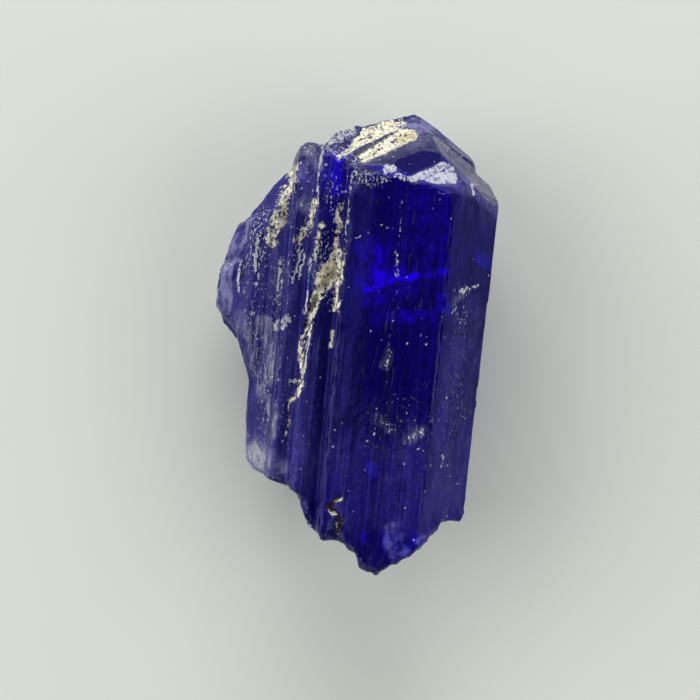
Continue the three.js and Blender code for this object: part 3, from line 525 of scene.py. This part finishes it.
@dataclass(frozen=True)
class Tanzanite:
    """Rough gem tanzanite, a natural crystal.

    It gives the eye a deep royal blue body with violet frosted faces, fine striations along the blades,
    white chips on the edges and a cream crust in the grooves. Its colour also holds painted glints,
    painted sheen, painted shade and painted light on thin parts.
    """

    name: str = "rough_tanzanite"
    covers: tuple[Cover, ...] = COVERS
    # The clear crystal: its surface, and what its body lets through
    ior: float = 1.69
    polish: float = 0.06
    gloss: float = 0.02
    gleam: str = "#A8A8C8"
    body: str = "#E4E2FF"
    through: str = "#A200F1"
    density: float = 660.0
    # Frost: its colours, the least of it on any face, and what etches it
    deep: str = "#1E0EA0"
    dusk: str = "#10076A"
    frost: str = "#7C7A8E"
    least_haze: float = 0.40
    grit_in_body: float = 0.5
    etch_all_over: float = 0.1
    etch_by_mottle: float = 0.6
    etch_by_streaks: float = 0.25
    etch_by_lines: float = 0.40
    film_all_over: float = 0.45
    film_by_etch: float = 0.6
    # Crust: cream where it is thick, dusty at its rim, golden where it is stained
    cream: str = "#E9E4D2"
    dust: str = "#9A9786"
    ochre: str = "#BCAA6C"
    flakes_in_crumbs: float = 0.5
    crumb_span: Point = (0.22, 0.78)
    flakes_in_crust: float = 0.35
    cream_span: Point = (0.62, 1.20)
    stain_span: Point = (0.40, 0.60)
    # Pits: their spacing in millimetres, and their sizes as shares of it
    pit_spacing: Point = (0.30, 0.40)
    least_pit: float = 0.06
    pit_spread: float = 0.16
    small_pit_odds: float = 2.0
    pit_fray: float = 0.30
    pit_trim: float = 0.10
    pit_rim: Point = (1.1, 0.4)
    clouds_in_dashes: float = 0.25
    # Bump, for grain finer than the mesh: the crust's share, the strength, the height in millimetres
    bump_of_crust: float = 1.5
    bump_strength: float = 0.2
    bump_height: float = 0.04

    def make(self) -> bpy.types.Material:
        """Builds the material.

        Returns:
            The finished material.
        """
        material = bpy.data.materials.new(self.name)
        g = Graph(material)
        place = g.add("TexCoord", {}, output="Object")
        masks = {m: g.add("Attribute", {}, output="Fac", attribute_name=m.value) for m in Mark}
        noises = self.noises(g, place)
        grains = self.grains(g, masks, noises)
        haze, frosted = self.frosting(g, masks, noises)
        pits = self.pits(g, place, masks, noises)
        crust = self.crust(g, masks, noises, grains)
        amounts = {Mark.HAZE: haze, Mark.SPECK: pits}
        paints = {Mark.HAZE: frosted, Mark.RESIDUE: crust}
        colour, clear, rough = linear(self.body), 1.0, self.polish
        for cover in self.covers:
            amount = amounts.get(cover.mark)
            if cover.uneven:
                amount = g.add(
                    "MapRange",
                    {"Value": grains[cover.mark], "From Min": cover.start, "From Max": cover.full},
                    interpolation_type="SMOOTHSTEP",
                )
            paint = linear(cover.paint) if cover.paint else paints[cover.mark]
            tone = g.add("Math", {0: amount, 1: cover.gain}, operation="MULTIPLY", use_clamp=True)
            colour = g.add("Mix", {0: tone, 6: colour, 7: paint}, output=2, data_type="RGBA")
            clear = g.add("Mix", {0: amount, 2: clear, 3: cover.clear})
            rough = g.add("Mix", {0: amount, 2: rough, 3: cover.matt})
        rise = {0: grains[Mark.RESIDUE], 1: self.bump_of_crust, 2: noises[Noise.LINES]}
        bump = g.add("Bump", {
            "Height": g.add("Math", rise, operation="MULTIPLY_ADD"),
            "Strength": self.bump_strength, "Distance": self.bump_height * MM,
        })
        shader = g.add("BsdfPrincipled", {
            "Base Color": colour, "Roughness": rough, "IOR": self.ior, "Specular IOR Level": self.gloss,
            "Specular Tint": linear(self.gleam), "Transmission Weight": clear, "Normal": bump,
        })
        inside = g.add("VolumeAbsorption", {"Color": linear(self.through), "Density": self.density})
        g.add("OutputMaterial", {"Surface": shader, "Volume": inside})
        return material

    @staticmethod
    def noises(g: Graph, place: Any) -> Noises:
        """Lays every noise over the crystal.

        Args:
            g: The material's nodes.
            place: The place on the crystal.

        Returns:
            A socket for each noise, mostly from 0 to 1.
        """
        laid = {}
        for kind in Noise:
            across, along = (1 / (size * MM) for size in kind.value.grain)
            cells = g.add("Mapping", {"Vector": place, "Scale": (across, along, across)})
            raw = g.add("TexNoise", {
                "Vector": cells, "Scale": 1.0, "Detail": kind.value.layers, "Roughness": kind.value.rough,
            })
            low, high = NOISE_SPAN
            laid[kind] = g.add("MapRange", {"Value": raw, "From Min": low, "From Max": high})
        return laid

    def grains(self, g: Graph, masks: Masks, noises: Noises) -> Masks:
        """Breaks the uneven marks up into grains.

        Args:
            g: The material's nodes.
            masks: The marks.
            noises: The noises.

        Returns:
            A socket for each uneven mark, 0 where there is no mark.
        """
        crumbs = g.add("Mix", {0: self.flakes_in_crumbs, 2: noises[Noise.GRIT], 3: noises[Noise.FLAKE]})
        low, high = self.crumb_span
        breakers = {
            Mark.SHADE: noises[Noise.CLOUD],
            Mark.PAINTED_BACKLIGHT: noises[Noise.WISP],
            Mark.SHEEN_AND_WISP: noises[Noise.STREAK],
            Mark.GLOW: noises[Noise.WISP],
            Mark.VEIL: noises[Noise.FLAKE],
            Mark.DASH: g.add("Mix", {
                0: self.clouds_in_dashes, 2: noises[Noise.DASH], 3: noises[Noise.CLOUD],
            }),
            Mark.EARTH: noises[Noise.FLAKE],
            Mark.RESIDUE: g.add("MapRange", {"Value": crumbs, "From Min": low, "From Max": high}),
        }
        broken = {}
        for cover in self.covers:
            if cover.uneven:
                share = g.add(
                    "Math",
                    {0: breakers[cover.mark], 1: cover.uneven, 2: 1 - cover.uneven / 2},
                    operation="MULTIPLY_ADD",
                )
                broken[cover.mark] = g.add("Math", {0: share, 1: masks[cover.mark]}, operation="MULTIPLY")
        return broken

    def frosting(self, g: Graph, masks: Masks, noises: Noises) -> tuple[Any, Any]:
        """Makes the frost: deep blue in the body of the crystal, greyer where a face is etched.

        Args:
            g: The material's nodes.
            masks: The marks.
            noises: The noises.

        Returns:
            The frost's amount and its colour.
        """
        mottle = g.add("Math", {0: noises[Noise.GRIT], 1: noises[Noise.CLOUD]}, operation="MULTIPLY")
        etched = self.etch_all_over
        for part, share in (
            (mottle, self.etch_by_mottle),
            (noises[Noise.STREAK], self.etch_by_streaks),
            (noises[Noise.LINES], self.etch_by_lines),
        ):
            etched = g.add("Math", {0: part, 1: share, 2: etched}, operation="MULTIPLY_ADD")
        grey = g.add("Math", {0: etched, 1: masks[Mark.FROST]}, operation="MULTIPLY", use_clamp=True)
        milk = g.add("Math", {0: masks[Mark.HAZE], 1: self.least_haze}, operation="MAXIMUM")
        film = g.add(
            "Math", {0: etched, 1: self.film_by_etch, 2: self.film_all_over}, operation="MULTIPLY_ADD",
        )
        haze = g.add("Math", {0: film, 1: milk}, operation="MULTIPLY", use_clamp=True)
        depth = g.add("Mix", {0: self.grit_in_body, 2: noises[Noise.LINES], 3: noises[Noise.GRIT]})
        blue = g.add(
            "Mix", {0: depth, 6: linear(self.dusk), 7: linear(self.deep)}, output=2, data_type="RGBA",
        )
        frosted = g.add("Mix", {0: grey, 6: blue, 7: linear(self.frost)}, output=2, data_type="RGBA")
        return haze, frosted

    def pits(self, g: Graph, place: Any, masks: Masks, noises: Noises) -> Any:
        """Strews white pits: one in some of the cells, each of its own size, with a frayed rim.

        Args:
            g: The material's nodes.
            place: The place on the crystal.
            masks: The marks.
            noises: The noises.

        Returns:
            The pits' amount.
        """
        across, along = (1 / (size * MM) for size in self.pit_spacing)
        cells = g.add("Mapping", {"Vector": place, "Scale": (across, along, across)})
        away = g.add("TexVoronoi", {"Vector": cells, "Scale": 1.0}, output="Distance")
        dice = g.add("SeparateColor", {0: away.node.outputs["Color"]})
        odds = g.add("Math", {0: dice.node.outputs[1], 1: self.small_pit_odds}, operation="POWER")
        size = g.add("Math", {0: odds, 1: self.pit_spread, 2: self.least_pit}, operation="MULTIPLY_ADD")
        away = g.add("Math", {0: noises[Noise.FLAKE], 1: self.pit_fray, 2: away}, operation="MULTIPLY_ADD")
        away = g.add("Math", {0: away, 1: self.pit_trim}, operation="SUBTRACT")
        away = g.add("Math", {0: away, 1: size}, operation="DIVIDE")
        outer, inner = self.pit_rim
        dots = g.add(
            "MapRange", {"Value": away, "From Min": outer, "From Max": inner},
            interpolation_type="SMOOTHSTEP",
        )
        chosen = g.add("Math", {0: dice, 1: masks[Mark.SPECK]}, operation="LESS_THAN")
        return g.add("Math", {0: dots, 1: chosen}, operation="MULTIPLY")

    def crust(self, g: Graph, masks: Masks, noises: Noises, grains: Masks) -> Any:
        """Colours the crust: cream where it is thick, dusty at its rim, with golden grains.

        Args:
            g: The material's nodes.
            masks: The marks.
            noises: The noises.
            grains: The marks broken up into grains.

        Returns:
            The crust's colour.
        """
        flake = noises[Noise.FLAKE]
        thick = g.add(
            "Math", {0: flake, 1: self.flakes_in_crust, 2: grains[Mark.RESIDUE]}, operation="MULTIPLY_ADD",
        )
        stain = g.add("Math", {0: masks[Mark.OCHRE], 1: flake}, operation="MULTIPLY")
        colour = linear(self.dust)
        for amount, (start, full), paint in (
            (thick, self.cream_span, self.cream),
            (stain, self.stain_span, self.ochre),
        ):
            share = g.add(
                "MapRange", {"Value": amount, "From Min": start, "From Max": full},
                interpolation_type="SMOOTHSTEP",
            )
            colour = g.add("Mix", {0: share, 6: colour, 7: linear(paint)}, output=2, data_type="RGBA")
        return colour


@dataclass(frozen=True)
class StudioCard:
    """Matt painted card for the floor: a pale green-grey with a faint mottle and no gloss."""

    name: str = "matt_studio_card"
    light: str = "#E8EBE4"
    shade: str = "#E2E5DD"
    mottle: float = 18.0
    mottle_layers: float = 2.0
    matt: float = 0.9
    gloss: float = 0.1

    def make(self) -> bpy.types.Material:
        """Builds the material.

        Returns:
            The finished material.
        """
        material = bpy.data.materials.new(self.name)
        g = Graph(material)
        place = g.add("TexCoord", {}, output="Object")
        spots = g.add(
            "TexNoise", {"Vector": place, "Scale": 1 / (self.mottle * MM), "Detail": self.mottle_layers},
        )
        colour = g.add(
            "Mix", {0: spots, 6: linear(self.light), 7: linear(self.shade)}, output=2, data_type="RGBA",
        )
        shader = g.add("BsdfPrincipled", {
            "Base Color": colour, "Roughness": self.matt, "Specular IOR Level": self.gloss,
        })
        g.add("OutputMaterial", {"Surface": shader})
        return material


@dataclass
class Crystal:
    """The crystal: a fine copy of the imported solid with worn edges, striations, breaks and crust.

    Sizes are in millimetres.
    """

    name: str = "rough_tanzanite"
    node: str = "tanzanite_crystal"
    body: str = "root"
    slot: str = "tanzanite"
    merge: float = 0.0001
    voxel: float = 0.102
    smooth_share: float = 0.5
    wear_rounds: int = 1
    fill_rounds: int = 30
    smooth_angle: float = 38.0
    # How far strokes stray from their lines, and over what waves
    drift: float = 0.16
    filled_drift: float = 0.3
    waves: float = 1.3
    wave_layers: int = 3
    seed: int = 7
    # Upright parts of the normal: where a face carries marks in full, where walls end, and around a rim
    full_lean: float = 0.2
    wall_lean: float = 0.3
    rim_lean: float = 0.3
    rim_width: float = 0.25
    # What lies on walls and edges by itself, and the painted shade along rims
    wall_haze: float = 0.6
    wall_frost: float = 0.3
    wall_specks: float = 0.3
    rim_shade: float = 0.6
    edge_veil: float = 0.48
    # Edges are chipped most at the grown end: how much in the middle, over what length, and at the least
    chips_middle: float = 0.6
    chips_length: float = 12.0
    chips_least: float = 0.2
    # Where an edge or a groove starts to count, and until it counts in full
    edge_start: float = 0.015
    edge_width: float = 0.05
    hollow_start: float = 0.01
    hollow_width: float = 0.04
    hollow_fill: float = 1.5
    sharpness_rounds: int = 6
    # Faces along the blades are striated, the main blade's only a little
    prism_full: float = 1.4
    prism_fall: float = 2.0
    blade_edge: float = -1.3
    blade_fade: float = 0.5
    blade_striated: float = 0.14
    # Where the broken end starts, and how far up the foot stays smooth
    broken_from: float = 6.5
    foot: float = 0.2
    group_steps: int = 24
    finish: Tanzanite = field(default_factory=Tanzanite)
    layers: tuple[Relief, ...] = (
        Relief("striations", Grain.SOFT, (0.26, 5.0, 0.26), 0.10, "striated"),
        Relief("growth_steps", Grain.SOFT, (1.1, 22.0, 1.1), 0.12, "striated"),
        Relief("hackle", Grain.CELLS, (0.75, 0.75, 0.75), 0.30, "hackle"),
        Relief("fine_hackle", Grain.SOFT, (0.35, 0.35, 0.35), 0.16, "hackle"),
        Relief("edge_chips", Grain.CELLS, (0.50, 0.70, 0.50), 0.26, "edge", 1.0),
        Relief("grain", Grain.SOFT, (0.45, 0.80, 0.45), 0.03, "free"),
        Relief("crust", Grain.SOFT, (0.2, 0.2, 0.2), 0.10, "residue"),
        Relief("socket", Grain.SOFT, (0.3, 0.3, 0.3), 0.30, "earth", 1.0),
    )

    def build(self) -> bpy.types.Object:
        """Models the crystal and dresses it.

        Returns:
            The finished piece.
        """
        piece = self.fine_copy()
        self.mark(piece)
        self.smooth(piece, "filled", self.fill_rounds, "filled")
        for layer in self.layers:
            layer.carve(piece)
        only(piece)
        bpy.ops.object.shade_smooth_by_angle(angle=math.radians(self.smooth_angle))
        piece.vertex_groups.clear()
        piece.data.materials.clear()
        piece.data.materials.append(self.finish.make())
        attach(piece, self.body)
        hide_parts(self.node)
        return piece

    def fine_copy(self) -> bpy.types.Object:
        """Copies the solid's mesh, merges it, remeshes it finely and wears its edges.

        Returns:
            The new piece, with no marks yet.
        """
        piece = bpy.data.objects.new(self.name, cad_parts[self.node].data.copy())
        bpy.context.scene.collection.objects.link(piece)
        only(piece)
        bpy.ops.object.mode_set(mode="EDIT")
        bpy.ops.mesh.select_all(action="SELECT")
        bpy.ops.mesh.remove_doubles(threshold=self.merge * MM)
        bpy.ops.object.mode_set(mode="OBJECT")
        cells = piece.modifiers.new("cells", "REMESH")
        cells.mode = "VOXEL"
        cells.voxel_size = self.voxel * MM
        bpy.ops.object.modifier_apply(modifier=cells.name)
        self.smooth(piece, "worn", self.wear_rounds)
        return piece

    def smooth(self, piece: bpy.types.Object, name: str, rounds: int, group: str = "") -> None:
        """Smooths the piece, or the part of it that a vertex group names.

        Args:
            piece: The mesh to smooth.
            name: The modifier's name.
            rounds: How often it is smoothed.
            group: The vertex group, or nothing for all of it.
        """
        only(piece)
        softer = piece.modifiers.new(name, "SMOOTH")
        softer.factor = self.smooth_share
        softer.iterations = rounds
        softer.vertex_group = group
        bpy.ops.object.modifier_apply(modifier=softer.name)

    def mark(self, piece: bpy.types.Object) -> None:
        """Lays every mark on the piece, as attributes for the finish and vertex groups for the relief.

        Args:
            piece: The fine copy.
        """
        mesh = piece.data
        count = len(mesh.vertices)
        at = np.empty(count * 3)
        mesh.vertices.foreach_get("co", at)
        at = at.reshape(-1, 3) / MM
        facing = np.empty(count * 3)
        mesh.vertices.foreach_get("normal", facing)
        facing = facing.reshape(-1, 3)
        u, v = at[:, 0] - PLAN_ZERO[0], at[:, 1] - PLAN_ZERO[1]
        upper = np.clip(facing[:, 2] / self.full_lean, 0, 1)
        sharp = self.sharpness(mesh, at, facing)
        edges = np.clip((sharp - self.edge_start) / self.edge_width, 0, 1)
        hollow = np.clip((-self.hollow_start - sharp) / self.hollow_width, 0, 1)

        # Marks: the strokes, what lies on walls and edges by itself, and the painted shade along rims
        weights = self.strokes(at, facing, u, v)
        side = (1 - upper) * np.clip(1 + facing[:, 2] / self.wall_lean, 0, 1)
        rim = np.clip(1 - np.abs(facing[:, 2] - self.rim_lean) / self.rim_width, 0, 1)
        worn = np.clip(self.chips_middle + v / self.chips_length, self.chips_least, 1)
        for m, least in (
            (Mark.HAZE, self.wall_haze * (1 - upper)),
            (Mark.FROST, self.wall_frost * side),
            (Mark.SPECK, self.wall_specks * side),
            (Mark.SHADE, self.rim_shade * rim),
            (Mark.VEIL, self.edge_veil * edges * worn),
        ):
            weights[m] = np.maximum(weights[m], least)
        for m, values in weights.items():
            mesh.attributes.new(m.value, "FLOAT", "POINT").data.foreach_set("value", values)

        # Groups: where each layer of relief is carved, clear of the face that it lies on
        prism = np.clip(self.prism_full - self.prism_fall * np.abs(facing[:, 1]), 0, 1)
        left = np.clip((self.blade_edge - u) / self.blade_fade, 0, 1)
        free = np.clip(at[:, 2] / self.foot, 0, 1)
        broken_end = np.clip(-v - self.broken_from, 0, 1) * (1 - upper)
        striated = prism * (self.blade_striated + (1 - self.blade_striated) * left)
        for name, values in (
            ("striated", striated * free),
            ("hackle", np.maximum(weights[Mark.HACKLE], broken_end) * free),
            ("edge", edges * free),
            ("free", free),
            ("filled", hollow * np.clip(self.hollow_fill * weights[Mark.RESIDUE], 0, 1)),
            ("residue", weights[Mark.RESIDUE]),
            ("earth", weights[Mark.EARTH]),
        ):
            self.group(piece, name, values)

    def strokes(
        self, at: np.ndarray, facing: np.ndarray, u: np.ndarray, v: np.ndarray,
    ) -> dict[Mark, np.ndarray]:
        """Lays the strokes, each straying a little from its line.

        Args:
            at: The vertices' places, in millimetres.
            facing: The vertices' normals.
            u: Their plan coordinates across the blades.
            v: Their plan coordinates along the blades.

        Returns:
            Each mark's weight at every vertex.
        """
        noise.seed_set(self.seed)
        sway = np.array(
            [noise.turbulence_vector(Vector(p) * self.waves, self.wave_layers, False) for p in at],
        )
        weights = {m: np.zeros(len(at)) for m in Mark}
        for stroke in STROKES:
            drift = self.drift * (self.filled_drift if stroke.filled else 1.0)
            laid = stroke.weight(u + drift * sway[:, 0], v + drift * sway[:, 1])
            shown = np.clip(facing[:, 2] / self.full_lean + ON_WALLS.get(stroke.mark, 0.0), 0, 1)
            weights[stroke.mark] = np.maximum(weights[stroke.mark], laid * shown)
        return weights

    def sharpness(self, mesh: bpy.types.Mesh, at: np.ndarray, facing: np.ndarray) -> np.ndarray:
        """Measures how far each vertex stands out from its smoothed surroundings.

        Args:
            mesh: The mesh, for its edges.
            at: The vertices' places, in millimetres.
            facing: The vertices' normals.

        Returns:
            Millimetres, above 0 on outer edges and below 0 in grooves.
        """
        pairs = np.empty(len(mesh.edges) * 2, dtype=np.int64)
        mesh.edges.foreach_get("vertices", pairs)
        first, second = pairs.reshape(-1, 2).T
        ends, others = np.concatenate((first, second)), np.concatenate((second, first))
        count = np.bincount(ends, minlength=len(at))[:, None]
        soft = at
        for _ in range(self.sharpness_rounds):
            sums = [np.bincount(ends, weights=soft[others, axis], minlength=len(at)) for axis in range(3)]
            soft = np.stack(sums, axis=1) / count
        return ((at - soft) * facing).sum(axis=1)

    def group(self, piece: bpy.types.Object, name: str, weights: np.ndarray) -> None:
        """Makes a vertex group with its weights in a few even steps.

        Args:
            piece: The object that gets the group.
            name: The group's name.
            weights: A weight from 0 to 1 for every vertex.
        """
        made = piece.vertex_groups.new(name=name)
        level = np.round(weights * self.group_steps).astype(int)
        for step in range(1, self.group_steps + 1):
            made.add(np.nonzero(level == step)[0].tolist(), step / self.group_steps, "REPLACE")


@dataclass(frozen=True)
class Softbox:
    """A rectangular light: its middle and its size in millimetres, and the radiance of its face."""

    name: str
    place: tuple[float, float, float]
    size: Point
    glow: float

    def hang(self) -> None:
        """Hangs the softbox so that it faces the crystal, out of the camera's sight."""
        lamp = bpy.data.lights.new(self.name, "AREA")
        lamp.shape = "RECTANGLE"
        lamp.size, lamp.size_y = self.size[0] * MM, self.size[1] * MM
        lamp.energy = self.glow * math.pi * lamp.size * lamp.size_y
        box = bpy.data.objects.new(self.name, lamp)
        bpy.context.scene.collection.objects.link(box)
        box.location = [p * MM for p in self.place]
        box.rotation_euler = (-box.location).to_track_quat("-Z", "Y").to_euler()
        box.visible_camera = False


@dataclass
class Studio:
    """A pale floor, soft light all round with a dark ceiling, and a camera that looks straight down.

    The floor's side and the camera's clipping are in metres, other sizes in millimetres.
    """

    floor_side: float = 4.0
    floor_drop: float = 0.05
    view_centre: Point = (0.087, -0.628)
    view_turn: float = 5.5
    view_width: float = 33.33
    view_height: float = 4.5
    distance: float = 250.0
    sensor: float = 36.0
    clipping: Point = (0.01, 10.0)
    bounces: int = 20
    clear_bounces: int = 16
    wall: str = "#F4F7F4"
    wall_glow: float = 1.15
    ceiling_glow: float = 0.03
    ceiling_span: Point = (0.35, 0.75)
    card: StudioCard = field(default_factory=StudioCard)
    softboxes: tuple[Softbox, ...] = (
        Softbox("back_softbox", (-40, 330, 190), (320, 150), 5.0),
        Softbox("low_strip", (62, 340, 44), (150, 50), 9.0),
        Softbox("left_softbox", (-330, 40, 240), (420, 300), 1.8),
        Softbox("right_softbox", (330, -20, 220), (360, 260), 1.4),
    )

    def build(self) -> None:
        """Sets up the floor, the lights and the camera."""
        self.floor()
        self.room()
        for softbox in self.softboxes:
            softbox.hang()
        self.camera()
        scene = bpy.context.scene
        scene.view_settings.view_transform = "Standard"
        scene.cycles.max_bounces = self.bounces
        scene.cycles.transmission_bounces = self.clear_bounces
        scene.cycles.use_denoising = True

    def floor(self) -> None:
        """Lays the floor just under the crystal."""
        bpy.ops.object.select_all(action="DESELECT")
        bpy.ops.mesh.primitive_plane_add(size=self.floor_side, location=(0, 0, -self.floor_drop * MM))
        floor = bpy.context.object
        floor.name = "floor"
        floor.data.materials.append(self.card.make())

    def room(self) -> None:
        """Gives the room a pale wall all round and a dark ceiling, so that level faces mirror the dark."""
        world = bpy.data.worlds.new("studio_room")
        bpy.context.scene.world = world
        g = Graph(world)
        way = g.add("TexCoord", {}, output="Generated")
        rise = g.add("SeparateXYZ", {0: way}, output="Z")
        low, high = self.ceiling_span
        glow = g.add("MapRange", {
            "Value": rise, "From Min": low, "From Max": high,
            "To Min": self.wall_glow, "To Max": self.ceiling_glow,
        }, interpolation_type="SMOOTHSTEP")
        light = g.add("Background", {"Color": linear(self.wall), "Strength": glow})
        g.add("OutputWorld", {"Surface": light})

    def camera(self) -> None:
        """Looks straight down on the crystal, turned so that the blades lean as in the picture."""
        lens = bpy.data.cameras.new("camera")
        lens.sensor_width = self.sensor
        lens.lens = self.sensor * self.distance / self.view_width
        lens.clip_start, lens.clip_end = self.clipping
        camera = bpy.data.objects.new("camera", lens)
        bpy.context.scene.collection.objects.link(camera)
        x, y = self.view_centre
        camera.location = (x * MM, y * MM, (self.view_height + self.distance) * MM)
        camera.rotation_euler = (0, 0, math.radians(self.view_turn))
        bpy.context.scene.camera = camera


def main() -> None:
    """Builds the crystal and the studio."""
    logging.basicConfig(level=logging.INFO, format="%(name)s: %(message)s")
    piece = Crystal().build()
    log.info("%s: %d faces", piece.name, len(piece.data.polygons))
    Studio().build()


if __name__ == "__main__":
    main()
